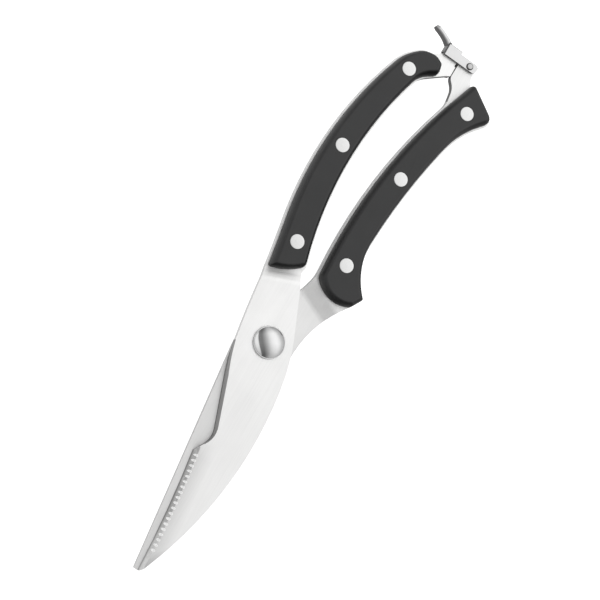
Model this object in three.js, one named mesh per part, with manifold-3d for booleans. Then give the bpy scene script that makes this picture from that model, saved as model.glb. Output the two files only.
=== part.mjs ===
import * as THREE from 'three';
import { mergeVertices } from 'three/addons/utils/BufferGeometryUtils.js';
import Module from 'manifold-3d';

// Spring-opening kitchen shears, closed and latched, lying flat. Millimetres.
// +X points to the tips, +Y to the guard handle, +Z up. The origin is on the pivot axis,
// in the plane that the shears rest on.

// Stack through the thickness
const STOCK = 3; // steel of both halves
const SCALE_HEIGHT = 4.8; // one handle scale, above or below its tang
const RUB_GAP = 0.1; // between the two blades
const SEAT_GAP = 0.05; // under heads and washers
const PIN_FIT = 0.08; // round a pin in its hole, on the radius
const SHEET_FIT = 0.3; // between the latch sheet and the tangs it clasps

// Lengths along the shears, from the pivot
const TIP_REACH = 104;
const HANDLE_START = 30; // where the scales begin
const LATCH_REACH = 150.1; // latch rivet behind the pivot
const LATCH_OFFSET = 15.4; // latch rivet to the guard side

// Serrated blade
const SPINE_BULGE = 8.6; // rise of the convex back over its chord
const HEEL_WIDTH = 11.3; // back of the blade above the pivot
const CHEEK_WIDTH = 11.2; // front of the blade below the pivot, where the bone notch starts
const NOTCH_START = 13.6;
const NOTCH_LEAD = 7.5; // the notch leaves the front of the blade in a long curve
const NOTCH_BOTTOM = 44.8;
const NOTCH_END = 52.8;
const NOTCH_ROUND = 5;
const EDGE_DROP = 4.3; // cutting edge below the pivot line at the end of the notch
const EDGE_HOLLOW = 0.75; // the cutting edge is slightly hollow
const EDGE_ANGLE = 51; // bevel of both cutting edges, from the blade face
const EDGE_LEAD = 2; // the bevel runs on into the notch
const NOTCH_ANGLE = 69; // bevel of the bone notch
const NOTCH_END_ANGLE = 88; // upright where the notch starts and ends
const NOTCH_FADE_IN = 0.42; // share of the notch until its bevel is full
const NOTCH_FADE_OUT = 0.5; // share from which it turns upright again
const TIP_WIDTH = 1.1; // blunt end of each blade
const TIP_ROUND = 1.4; // corner taken off at the tips
const TIP_THICKNESS = 1.9;
const TAPER_START = 16; // the outer faces taper from here to the tips

// Serration
const GROOVE_PITCH = 2.25;
const GROOVE_RADIUS = 0.66;
const GROOVE_START = 0.8; // from the cutting edge to where a groove begins on the bevel
const GROOVE_END = 2.5; // and to where it fades out on the blade face
const GROOVE_FIRST = 1.6; // first groove beyond the end of the notch
const GROOVE_MARGIN = 8; // plain edge left at the tip

// Plain blade
const SPINE_DROP = 12.6; // straight back below the pivot line, beside the pivot
const PLAIN_EDGE_START = 18;
const PLAIN_EDGE_RISE = 7.5;
const PLAIN_EDGE_BULGE = 2;

// Necks: each blade steps down or up to the common plane of the tangs
const BOW_NECK_ANGLE = 22.2; // direction of the step, from the X axis
const BOW_STEP_RUN = 4.5;
const GUARD_NECK_ANGLE = -23.9;
const GUARD_STEP_RUN = 6.8;

// Handles
const TANG_PROUD = 0.7; // tang edge outside its scales
const SPLIT = -5; // bow side of the slit between the tang ends, from the latch rivet
const SLIT = 0.25;
const SLIT_RELIEF = 0.6; // the slit is wider under the latch
const BOW_BULGE = 6.2; // outer edge of the bow over its chord
const BOW_HOLLOW = 7.4; // inner edge of the bow
const GUARD_HOLLOW = 4.8; // inner edge of the guard
const SCALE_EDGE = 2.4; // width of the rounded edge of a scale

// Two-part cutlery rivets
const RIVET_HEAD = 6.2;
const RIVET_HEAD_HEIGHT = 1.2;
const RIVET_TUBE = 4; // outside of the female half
const RIVET_PIN = 2.2; // male half
const RIVET_OVERLAP = 2.5; // depth of the pin above the middle of the tang

// Pivot
const DOME_WIDTH = 13.7;
const DOME_RISE = 2.1;
const RIM_WIDTH = 0.55;
const RIM_HEIGHT = 0.7;
const BOLT_WIDTH = 7.8;
const THREAD_WIDTH = 5;
const NUT_WIDTH = 12.4;
const NUT_SLOT = 1.6;
const NUT_SLOT_DEPTH = 0.9;
const WASHER_WIDTH = 13.4;
const WASHER_THICKNESS = 0.6;

// Opening spring in the recess between the blades
const SPRING_WIRE = 1;
const SPRING_RADIUS = 5.6;
const SPRING_TURNS = 1.25;
const SPRING_LEG = 4.6;
const LOW_LEG_ANGLE = 120; // leg in the plain blade, from the X axis
const SPRING_PLAY = 0.2;

// Latch
const LATCH_SHEET = 1;
const LATCH_FOOT = 1.8; // front edge of the cheeks, from the rivet
const LATCH_CHEEK = 2.4; // back edge of the cheeks
const LATCH_BACK = 3; // inside of the folded top behind the rivet
const LATCH_LENGTH = 12; // rivet to the inside of the end wall
const LATCH_BRIDGE = 6.2; // length of the folded top
const LATCH_NOSE = 3.3; // end of the cheeks beyond the rivet
const NOSE_ROUND = 1.6;
const WINDOW_LIFT = 1.3; // window in the end wall, clear of the bow tang's path
const TAB_LENGTH = 9.1;
const TAB_ANGLE = 26; // away from the handles
const TAB_CURL = 0.6;
const TAB_BASE = 5.4; // width at the end wall
const TAB_WIDTH = 4.6;
const TAB_FLARE = 3; // from the end wall to the even width
const FOLD_ROUND = 0.8;
const LATCH_PIN = 2.2;
const LATCH_HEAD = 3.2;
const LATCH_HEAD_HEIGHT = 0.6;

// Facets
const CHORD_TOLERANCE = 0.05;
const ROUND_STEPS = 5;
const PIN_SIDES = 16;
const GROOVE_SIDES = 10;
const DOME_SIDES = 40;

// Levels worked out from the stack
const TANG_LOW = SCALE_HEIGHT;
const TANG_HIGH = SCALE_HEIGHT + STOCK;
const MIDDLE = SCALE_HEIGHT + STOCK / 2;
const TOP = TANG_HIGH + SCALE_HEIGHT;
const UPPER_IN = MIDDLE + RUB_GAP / 2;
const UPPER_OUT = UPPER_IN + STOCK;
const LOWER_IN = MIDDLE - RUB_GAP / 2;
const LOWER_OUT = LOWER_IN - STOCK;
const BEYOND = 5; // how far cutters reach past what they cut
const BEVEL_MARGIN = 1;

const wasm = await Module();
wasm.setup();

// Solids

function closed(geometry) {
  // Merges shared vertices, drops triangles without area and turns the faces outwards.
  const bare = geometry.clone();
  bare.deleteAttribute('normal');
  bare.deleteAttribute('uv');
  const merged = mergeVertices(bare, 1e-4);
  const place = merged.attributes.position;
  const index = [];
  let volume = 0;
  const [a, b, c] = [new THREE.Vector3(), new THREE.Vector3(), new THREE.Vector3()];
  for (let i = 0; i < merged.index.count; i += 3) {
    const face = [0, 1, 2].map((k) => merged.index.getX(i + k));
    if (new Set(face).size < 3) continue;
    index.push(...face);
    [a, b, c].forEach((corner, k) => corner.fromBufferAttribute(place, face[k]));
    volume += a.dot(b.cross(c)) / 6;
  }
  merged.setIndex(volume < 0 ? index.reverse() : index);
  return merged;
}

function solid(geometry) {
  const merged = closed(geometry);
  return new wasm.Manifold(new wasm.Mesh({
    numProp: 3,
    vertProperties: new Float32Array(merged.attributes.position.array),
    triVerts: new Uint32Array(merged.index.array),
  }));
}

function surface(body) {
  const mesh = body.getMesh();
  const geometry = new THREE.BufferGeometry();
  geometry.setAttribute('position', new THREE.BufferAttribute(mesh.vertProperties, 3));
  geometry.setIndex(new THREE.BufferAttribute(mesh.triVerts, 1));
  return geometry;
}

function cut(geometry, ...tools) {
  return surface(tools.reduce((body, tool) => body.subtract(solid(tool)), solid(geometry)));
}

function join(geometry, ...others) {
  return surface(others.reduce((body, other) => body.add(solid(other)), solid(geometry)));
}

function common(geometry, other) {
  return surface(solid(geometry).intersect(solid(other)));
}

// Plan outlines: corners in counter-clockwise order, each with a fillet, and with the bulge of
// the edge that leaves it, positive outwards.

const corner = (x, y, round = 0, bulge = 0) => ({ x, y, round, bulge });
const behind = (c) => corner(c.x - HANDLE_START, c.y, c.round, c.bulge);
const atLatch = (c) => corner(c.x - LATCH_REACH, c.y + LATCH_OFFSET, c.round, c.bulge);

function edge(from, to) {
  const along = new THREE.Vector2(to.x - from.x, to.y - from.y);
  const chord = along.length();
  along.divideScalar(chord);
  const out = new THREE.Vector2(along.y, -along.x);
  const half = 2 * Math.atan2(2 * from.bulge, chord);
  const radius = half ? chord / 2 / Math.sin(half) : Infinity;
  const length = half ? 2 * half * radius : chord;
  const tangent = (angle) => along.clone().multiplyScalar(Math.cos(angle))
    .addScaledVector(out, -Math.sin(angle));
  const at = (share) => {
    const start = new THREE.Vector2(from.x, from.y);
    if (!half) return start.addScaledVector(along, chord * share);
    const angle = half * (2 * share - 1);
    return start.addScaledVector(along, chord / 2 + radius * Math.sin(angle))
      .addScaledVector(out, radius * (Math.cos(angle) - Math.cos(half)));
  };
  const facet = half ? 2 * Math.acos(1 - CHORD_TOLERANCE / Math.abs(radius)) : 1;
  const steps = half ? Math.ceil(2 * Math.abs(half) / facet) : 1;
  return { chord, length, at, steps, start: tangent(-half), end: tangent(half) };
}

function inset(corners, depth) {
  // Moves every edge inwards by depth, keeping the arcs' angles and the number of points.
  const count = corners.length;
  const edges = corners.map((c, i) => edge(c, corners[(i + 1) % count]));
  const moved = corners.map((c, i) => {
    const into = edges[(i + count - 1) % count].end;
    const away = edges[i].start;
    const sum = new THREE.Vector2(-into.y - away.y, into.x + away.x);
    const shift = sum.multiplyScalar(depth / (1 + into.dot(away)));
    const round = into.cross(away) > 0 ? Math.max(c.round - depth, c.round / 8) : c.round + depth;
    const steps = c.steps ?? edges[i].steps;
    return { ...corner(c.x + shift.x, c.y + shift.y, c.round && round), steps };
  });
  moved.forEach((c, i) => {
    const next = moved[(i + 1) % count];
    c.bulge = corners[i].bulge * Math.hypot(next.x - c.x, next.y - c.y) / edges[i].chord;
  });
  return moved;
}

function outline(corners) {
  const count = corners.length;
  const edges = corners.map((c, i) => edge(c, corners[(i + 1) % count]));
  const points = [];
  corners.forEach((c, i) => {
    const before = edges[(i + count - 1) % count];
    const after = edges[i];
    const next = corners[(i + 1) % count];
    const fillet = Math.min(c.round, 0.45 * before.length, 0.45 * after.length);
    const start = after.at(fillet / after.length);
    if (fillet) {
      const round = new THREE.QuadraticBezierCurve(
        before.at(1 - fillet / before.length), new THREE.Vector2(c.x, c.y), start);
      points.push(...round.getPoints(ROUND_STEPS).slice(0, -1));
    }
    const last = edges[(i + 1) % count];
    const stop = 1 - Math.min(next.round, 0.45 * after.length, 0.45 * last.length) / after.length;
    const steps = c.steps ?? after.steps;
    for (let k = 0; k < steps; k += 1) {
      points.push(after.at(fillet / after.length + (stop - fillet / after.length) * k / steps));
    }
  });
  return points;
}

function plate(points, low, high) {
  const options = { depth: high - low, bevelEnabled: false };
  return new THREE.ExtrudeGeometry(new THREE.Shape(points), options).translate(0, 0, low);
}

function sideProfile(points, degrees, width) {
  // Extrudes a profile of [along, height] pairs across the direction at an angle to X.
  const along = new THREE.Vector3(1, 0, 0).applyAxisAngle(new THREE.Vector3(0, 0, 1),
    THREE.MathUtils.degToRad(degrees));
  const up = new THREE.Vector3(0, 0, 1);
  const across = along.clone().cross(up);
  const shape = new THREE.Shape(points.map(([u, z]) => new THREE.Vector2(u, z)));
  const geometry = new THREE.ExtrudeGeometry(shape, { depth: width, bevelEnabled: false });
  geometry.translate(0, 0, -width / 2);
  return geometry.applyMatrix4(new THREE.Matrix4().makeBasis(along, up, across));
}

function loft(rings) {
  // Joins rings of as many points, each at its own height, and closes both ends.
  const count = rings[0].points.length;
  const place = rings.flatMap(({ points, z }) => points.flatMap((p) => [p.x, p.y, z]));
  const index = [];
  for (let level = 0; level < rings.length - 1; level += 1) {
    for (let i = 0; i < count; i += 1) {
      const [a, b] = [level * count + i, level * count + (i + 1) % count];
      index.push(a, b, b + count, a, b + count, a + count);
    }
  }
  const top = (rings.length - 1) * count;
  const caps = [[rings[0].points, 0, true], [rings.at(-1).points, top, false]];
  caps.forEach(([points, first, down]) => {
    THREE.ShapeUtils.triangulateShape(points, []).forEach((face) => {
      const corners = face.map((k) => first + k);
      index.push(...(down ? corners.reverse() : corners));
    });
  });
  const geometry = new THREE.BufferGeometry();
  geometry.setAttribute('position', new THREE.Float32BufferAttribute(place, 3));
  geometry.setIndex(index);
  return geometry;
}

function revolve(profile, sides) {
  const points = profile.map(([radius, z]) => new THREE.Vector2(radius, z));
  return closed(new THREE.LatheGeometry(points, sides).rotateX(Math.PI / 2));
}

function pin(radius, low, high, sides = PIN_SIDES) {
  return revolve([[0, low], [radius, low], [radius, high], [0, high]], sides);
}

function bevel(points, faceIn, faceOut, angleAt) {
  // Cutter along points of an outline: it leaves an edge on the inner face and slopes back
  // to the outer face, at an angle given for each share of the way.
  const rise = faceOut - faceIn;
  const last = points.length - 1;
  const place = points.flatMap((here, k) => {
    const slope = Math.tan(THREE.MathUtils.degToRad(angleAt(k / last))) * Math.sign(rise);
    const depths = [-BEVEL_MARGIN, Math.abs(rise / slope) + BEVEL_MARGIN];
    const top = depths[1] * slope;
    const profile = [[depths[0], depths[0] * slope], [depths[1], top], [depths[0], top]];
    const ahead = points[Math.min(k + 1, last)].clone().sub(points[Math.max(k - 1, 0)]);
    const inward = new THREE.Vector2(-ahead.y, ahead.x).normalize();
    return profile.flatMap(([depth, height]) => [here.x + inward.x * depth,
      here.y + inward.y * depth, faceIn + height]);
  });
  const index = [0, 1, 2, 3 * last + 2, 3 * last + 1, 3 * last];
  for (let k = 0; k < last; k += 1) {
    for (let i = 0; i < 3; i += 1) {
      const [a, b] = [3 * k + i, 3 * k + (i + 1) % 3];
      index.push(a, a + 3, b + 3, a, b + 3, b);
    }
  }
  const geometry = new THREE.BufferGeometry();
  geometry.setAttribute('position', new THREE.Float32BufferAttribute(place, 3));
  geometry.setIndex(index);
  return geometry;
}

function along(from, to, lead = 0) {
  // Points of an edge, which starts a lead before its first corner.
  const run = edge(from, to);
  const first = -lead / run.length;
  const count = run.steps + 1;
  return Array.from({ length: count }, (_, k) => run.at(first + (1 - first) * k / run.steps));
}

// Handles in plan

const bowScaleCorners = [
  behind(corner(3.1, -16.4, 1.6, 1.2)),
  behind(corner(-5, -2.6, 1.8, -BOW_HOLLOW)),
  atLatch(corner(17, -16.9, 4)),
  atLatch(corner(12, -10, 3)),
  atLatch(corner(7, -11.2, 1.2)),
  atLatch(corner(5, -15.2, 3)),
  atLatch(corner(6.2, -21.6, 4)),
  atLatch(corner(12.7, -27.6, 6, BOW_BULGE)),
  behind(corner(-17, -19.8, 6, -0.1)),
];
const guardScaleCorners = [
  behind(corner(-5.2, 4.2, 1.2, 3.8)),
  behind(corner(-1.3, 22.6, 0.8)),
  behind(corner(-6.6, 25.6, 1, -1.9)),
  behind(corner(-26, 16.4, 3, -1.4)),
  atLatch(corner(38.1, 8.4, 3, -1.9)),
  atLatch(corner(15.7, 21.3, 4.2)),
  atLatch(corner(5.6, 5.5, 2)),
  atLatch(corner(20.3, 0.3, 2, GUARD_HOLLOW)),
];

const midway = (a, b, x, y) => corner((a.x + b.x) / 2 + x, (a.y + b.y) / 2 + y);
const bowRear = atLatch(corner(18.55, -23.3));
const bowFront = behind(corner(-11.1, -11.7));
const bowRivets = [bowRear, midway(bowRear, bowFront, -0.2, -6.1), bowFront];
const guardRear = atLatch(corner(20.1, 8.5));
const guardFront = behind(corner(-14.2, 11.3));
const guardRivets = [guardRear, midway(guardRear, guardFront, -1.5, -4.6), guardFront];

const rivetHoles = (rivets) => rivets.map(
  ({ x, y }) => pin(RIVET_TUBE / 2 + PIN_FIT, -BEYOND, TOP + BEYOND).translate(x, y, 0));

function scale(corners, rivets) {
  // A scale for the front; its underside is at height 0.
  const rounding = [0, 32, 58, 77, 90].map(THREE.MathUtils.degToRad);
  const rings = rounding.map((angle) => ({
    points: outline(inset(corners, SCALE_EDGE * (1 - Math.cos(angle)))),
    z: SCALE_HEIGHT * Math.sin(angle),
  }));
  const seats = rivets.map(({ x, y }) => pin(RIVET_HEAD / 2 + PIN_FIT,
    SCALE_HEIGHT - RIVET_HEAD_HEIGHT - SEAT_GAP, SCALE_HEIGHT + BEYOND).translate(x, y, 0));
  return cut(loft(rings), ...rivetHoles(rivets), ...seats);
}

function rivetTube() {
  // Female half; its head lies flush in the front scale.
  const [head, tube] = [RIVET_HEAD / 2, RIVET_TUBE / 2];
  const shoulder = TOP - RIVET_HEAD_HEIGHT;
  const bore = RIVET_PIN / 2 + PIN_FIT;
  const depth = MIDDLE + RIVET_OVERLAP + SEAT_GAP;
  return revolve([[0, depth], [bore, depth], [bore, MIDDLE], [tube, MIDDLE],
    [tube, shoulder], [head, shoulder], [head, TOP], [0, TOP]], PIN_SIDES);
}

function rivetPin() {
  // Male half; its head lies flush in the back scale.
  const [head, tube, stem] = [RIVET_HEAD / 2, RIVET_TUBE / 2, RIVET_PIN / 2];
  const collar = MIDDLE - SEAT_GAP;
  return revolve([[0, 0], [head, 0], [head, RIVET_HEAD_HEIGHT], [tube, RIVET_HEAD_HEIGHT],
    [tube, collar], [stem, collar], [stem, MIDDLE + RIVET_OVERLAP],
    [0, MIDDLE + RIVET_OVERLAP]], PIN_SIDES);
}

// Tangs: the scales' outlines standing proud, with their ends under the latch

const bowTang = inset(bowScaleCorners, -TANG_PROUD);
const guardTang = inset(guardScaleCorners, -TANG_PROUD);
const plain = ({ x, y, round, bulge }) => corner(x, y, round, bulge);
const bowTangEnd = [
  corner(9.2, -6.5, 1),
  corner(8.5, SPLIT, 0.6),
  corner(3.6, SPLIT, 0.2),
  corner(3.4, SPLIT - SLIT_RELIEF, 0.2),
  corner(1.3, SPLIT - SLIT_RELIEF, 0.4),
  corner(1.3, -13, 1.5),
  corner(3.8, -15, 2),
].map(atLatch);
const guardTangEnd = [
  corner(8.8, 6, 1),
  corner(3.3, 3.2, 2),
  corner(-2.6, 4.4, 0.8),
  corner(-2.6, SPLIT + SLIT + 0.3, 1),
  corner(8.9, SPLIT + SLIT, 1.2),
  corner(12.5, -1.5, 3),
].map(atLatch);

// Blade and tang of each half in plan

const tipEdge = corner(TIP_REACH, 0.9);
const cheek = corner(bowTang[0].x, bowTang[0].y, 6, 0.5);
const notchStart = corner(NOTCH_START, -CHEEK_WIDTH, NOTCH_LEAD);
const notchBottom = corner(NOTCH_BOTTOM, 0.2, NOTCH_ROUND);
const notchEnd = corner(NOTCH_END, -EDGE_DROP, 0, -EDGE_HOLLOW);
const notchCorners = [corner(cheek.x, cheek.y, 0, cheek.bulge), notchStart, notchBottom,
  corner(notchEnd.x, notchEnd.y)];
const notchRun = outline(notchCorners).slice(edge(cheek, notchStart).steps);
const serratedPlan = outline([
  tipEdge,
  corner(TIP_REACH, tipEdge.y + TIP_WIDTH / 2, TIP_WIDTH / 5),
  corner(TIP_REACH - TIP_ROUND, tipEdge.y + 1.5 * TIP_WIDTH, TIP_ROUND, SPINE_BULGE),
  corner(0, HEEL_WIDTH, 8),
  behind(corner(-2.2, -2.7, 2)),
  ...bowTang.slice(1, 3).map(plain),
  ...bowTangEnd,
  ...bowTang.slice(6).map(plain),
  cheek,
  notchStart,
  notchBottom,
  notchEnd,
]);

const plainTip = corner(TIP_REACH, -0.8, TIP_ROUND / 2);
const edgeTip = corner(TIP_REACH, plainTip.y + 2 * TIP_WIDTH, 0, PLAIN_EDGE_BULGE);
const edgeHeel = corner(PLAIN_EDGE_START, PLAIN_EDGE_RISE, 4);
const plainPlan = outline([
  plainTip,
  edgeTip,
  edgeHeel,
  corner(3.5, 11.9, 3, -3.4),
  ...guardScaleCorners.slice(1, 3),
  ...guardTang.slice(3, 6).map(plain),
  ...guardTangEnd,
  plain(guardTang[7]),
  corner(guardTang[0].x, guardTang[0].y, 3),
  behind(corner(4, 1.3, 6)),
  corner(2, -SPINE_DROP, 6),
]);

// Steel halves

function stepped(plan, scaleCorners, degrees, run, faceIn, faceOut) {
  // A plate whose blade is offset from the plane of its tang by a step before the scale.
  const along = new THREE.Vector2(1, 0).rotateAround(new THREE.Vector2(),
    THREE.MathUtils.degToRad(degrees));
  const scaleEnd = Math.max(...outline(scaleCorners).map((p) => p.dot(along)));
  const stepEnd = scaleEnd + SHEET_FIT;
  const [low, high] = [Math.min(faceIn, faceOut), Math.max(faceIn, faceOut)];
  const far = LATCH_REACH + BEYOND;
  const profile = [[-2 * far, TANG_LOW], [stepEnd, TANG_LOW], [stepEnd + run, low],
    [2 * far, low], [2 * far, high], [stepEnd + run, high], [stepEnd, TANG_HIGH],
    [-2 * far, TANG_HIGH]];
  return common(plate(plan, 0, TOP), sideProfile(profile, degrees, 4 * far));
}

function taper(faceIn, faceOut) {
  // Wedge taken off the outer face towards the tip.
  const away = Math.sign(faceOut - faceIn);
  const drop = away * (STOCK - TIP_THICKNESS) / (TIP_REACH - TAPER_START);
  const end = TIP_REACH + BEYOND;
  const profile = [[TAPER_START, faceOut], [end, faceOut - drop * (end - TAPER_START)],
    [end, faceOut + away * BEYOND], [TAPER_START, faceOut + away * BEYOND]];
  return sideProfile(profile, 0, 2 * TIP_REACH);
}

const springRise = SPRING_TURNS * (SPRING_WIRE + SPRING_PLAY);
const springLow = MIDDLE - springRise / 2;
const springHigh = MIDDLE + springRise / 2;
const pocketLow = springLow - SPRING_WIRE / 2 - SPRING_PLAY;
const pocketHigh = springHigh + SPRING_WIRE / 2 + SPRING_PLAY;
const highLegAngle = LOW_LEG_ANGLE + 360 * SPRING_TURNS;

function springPocket(low, high, legDegrees) {
  const room = SPRING_WIRE / 2 + SPRING_PLAY;
  const slot = new THREE.BoxGeometry(SPRING_LEG + 2 * room, 2 * room, high - low);
  slot.translate(SPRING_RADIUS + SPRING_LEG / 2, 0, (low + high) / 2);
  slot.rotateZ(THREE.MathUtils.degToRad(legDegrees));
  return join(pin(SPRING_RADIUS + room, low, high, DOME_SIDES), slot);
}

function notchAngle(share) {
  const fade = Math.max(1 - share / NOTCH_FADE_IN,
    (share - NOTCH_FADE_OUT) / (1 - NOTCH_FADE_OUT), 0);
  return THREE.MathUtils.lerp(NOTCH_ANGLE, NOTCH_END_ANGLE, fade);
}

function grooves() {
  // Round-bottomed grooves from the bevel of the cutting edge up to the blade face.
  const run = edge(notchEnd, tipEdge);
  const count = Math.floor((run.length - GROOVE_MARGIN) / GROOVE_PITCH);
  const low = GROOVE_START * Math.tan(THREE.MathUtils.degToRad(EDGE_ANGLE));
  const tools = [];
  for (let k = 0; k < count; k += 1) {
    const share = (GROOVE_FIRST + k * GROOVE_PITCH) / run.length;
    const here = run.at(share);
    const ahead = run.at(share + 0.01).sub(here);
    const tapered = (here.x - TAPER_START) / (TIP_REACH - TAPER_START);
    const thickness = THREE.MathUtils.lerp(STOCK, TIP_THICKNESS, tapered);
    const slope = (thickness - low) / (GROOVE_END - GROOVE_START);
    const tool = pin(GROOVE_RADIUS, -GROOVE_START, GROOVE_END + BEYOND, GROOVE_SIDES);
    tool.translate(0, -GROOVE_RADIUS, 0).rotateX(-Math.PI / 2 + Math.atan(slope));
    tool.rotateZ(ahead.angle());
    tools.push(tool.translate(here.x, here.y, UPPER_IN + low - GROOVE_START * slope));
  }
  return tools;
}

const boltHole = pin(BOLT_WIDTH / 2 + PIN_FIT, 0, TOP, DOME_SIDES);
const latchHole = pin(LATCH_PIN / 2 + PIN_FIT, 0, TOP)
  .translate(-LATCH_REACH, LATCH_OFFSET, 0);

function serratedBlade() {
  const blank = stepped(serratedPlan, bowScaleCorners, BOW_NECK_ANGLE, BOW_STEP_RUN,
    UPPER_IN, UPPER_OUT);
  return cut(blank, taper(UPPER_IN, UPPER_OUT), boltHole,
    springPocket(MIDDLE - BEYOND, pocketHigh, highLegAngle),
    bevel(notchRun, UPPER_IN, UPPER_OUT, notchAngle),
    bevel(along(notchEnd, tipEdge, EDGE_LEAD), UPPER_IN, UPPER_OUT, () => EDGE_ANGLE),
    ...grooves(), ...rivetHoles(bowRivets));
}

function plainBlade() {
  const blank = stepped(plainPlan, guardScaleCorners, GUARD_NECK_ANGLE, GUARD_STEP_RUN,
    LOWER_IN, LOWER_OUT);
  return cut(blank, taper(LOWER_IN, LOWER_OUT), boltHole,
    springPocket(pocketLow, MIDDLE + BEYOND, LOW_LEG_ANGLE),
    bevel(along(edgeTip, edgeHeel), LOWER_IN, LOWER_OUT, () => EDGE_ANGLE),
    latchHole, ...rivetHoles(guardRivets));
}

// Pivot

function pivotBolt() {
  const [head, shank, thread] = [DOME_WIDTH / 2, BOLT_WIDTH / 2, THREAD_WIDTH / 2];
  const seat = UPPER_OUT + SEAT_GAP;
  const crown = head - RIM_WIDTH;
  const ball = (crown ** 2 + DOME_RISE ** 2) / (2 * DOME_RISE);
  const spread = Math.asin(crown / ball);
  const dome = [1, 0.8, 0.6, 0.4, 0.2, 0].map((share) => [ball * Math.sin(spread * share),
    seat + RIM_HEIGHT + DOME_RISE - ball * (1 - Math.cos(spread * share))]);
  const shoulder = LOWER_OUT - SEAT_GAP - WASHER_THICKNESS;
  return revolve([[0, 0], [thread, 0], [thread, shoulder], [shank, shoulder], [shank, seat],
    [head, seat], [head, seat + RIM_HEIGHT], ...dome], DOME_SIDES);
}

function pivotWasher() {
  const [inner, outer] = [BOLT_WIDTH / 2 + PIN_FIT, WASHER_WIDTH / 2];
  const high = LOWER_OUT - SEAT_GAP;
  const low = high - WASHER_THICKNESS;
  return revolve([[inner, low], [outer, low], [outer, high], [inner, high], [inner, low]],
    DOME_SIDES);
}

function pivotNut() {
  const [inner, outer] = [THREAD_WIDTH / 2 + PIN_FIT, NUT_WIDTH / 2];
  const high = LOWER_OUT - 2 * SEAT_GAP - WASHER_THICKNESS - SEAT_GAP;
  const ring = revolve([[inner, 0], [outer, 0], [outer, high], [inner, high], [inner, 0]],
    DOME_SIDES);
  const depth = outer - inner;
  const slots = [-1, 1].map((side) => new THREE.BoxGeometry(depth, NUT_SLOT, 2 * NUT_SLOT_DEPTH)
    .translate(side * outer, 0, 0));
  return cut(ring, ...slots);
}

function openingSpring() {
  // Coil with a leg in each blade's slot.
  const turnSteps = 16;
  const steps = Math.round(turnSteps * SPRING_TURNS);
  const points = [];
  const along = (degrees, radius, z) => new THREE.Vector3(radius, 0, z)
    .applyAxisAngle(new THREE.Vector3(0, 0, 1), THREE.MathUtils.degToRad(degrees));
  for (let k = 0; k <= steps; k += 1) {
    const share = k / steps;
    points.push(along(LOW_LEG_ANGLE + 360 * SPRING_TURNS * share, SPRING_RADIUS,
      springLow + springRise * share));
  }
  const foot = SPRING_RADIUS + SPRING_LEG;
  const knee = SPRING_RADIUS + SPRING_WIRE;
  points.unshift(along(LOW_LEG_ANGLE, foot, springLow), along(LOW_LEG_ANGLE, knee, springLow));
  points.push(along(highLegAngle, knee, springHigh), along(highLegAngle, foot, springHigh));
  const wire = new THREE.Shape();
  wire.absarc(0, 0, SPRING_WIRE / 2, 0, 2 * Math.PI);
  const path = new THREE.CatmullRomCurve3(points);
  return new THREE.ExtrudeGeometry(wire,
    { steps: 2 * points.length, extrudePath: path, curveSegments: 3 });
}

// Latch: one folded sheet with two cheeks, a top, an end wall and a thumb tab

function latch() {
  const [low, high] = [TANG_LOW - SHEET_FIT - LATCH_SHEET, TANG_HIGH + SHEET_FIT + LATCH_SHEET];
  const top = -LATCH_BACK - LATCH_SHEET;
  const wall = -LATCH_LENGTH - LATCH_SHEET;
  const bridgeEnd = -LATCH_LENGTH + LATCH_BRIDGE;
  const body = plate(outline([
    corner(LATCH_FOOT, wall, FOLD_ROUND / 2),
    corner(LATCH_FOOT, LATCH_NOSE, NOSE_ROUND),
    corner(-LATCH_CHEEK, LATCH_NOSE, NOSE_ROUND),
    corner(-LATCH_CHEEK, bridgeEnd),
    corner(top, bridgeEnd, FOLD_ROUND / 2),
    corner(top, wall, FOLD_ROUND),
  ].map(atLatch)), low, high);
  const room = STOCK + 2 * SHEET_FIT;
  const far = 2 * (LATCH_LENGTH + LATCH_NOSE);
  const channel = new THREE.BoxGeometry(far, far, room)
    .translate(far / 2 - LATCH_BACK, far / 2 - LATCH_LENGTH, MIDDLE);
  const open = new THREE.BoxGeometry(far, far, room).translate(0, far / 2 + bridgeEnd, MIDDLE);
  const pass = new THREE.BoxGeometry(far, 4 * LATCH_SHEET, room)
    .translate(far / 2 + LATCH_FOOT - WINDOW_LIFT, wall, MIDDLE);
  const hollows = [channel, open, pass].map(
    (tool) => tool.translate(-LATCH_REACH, LATCH_OFFSET, 0));
  return cut(join(body, thumbTab(top, wall)), ...hollows, latchHole);
}

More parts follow.
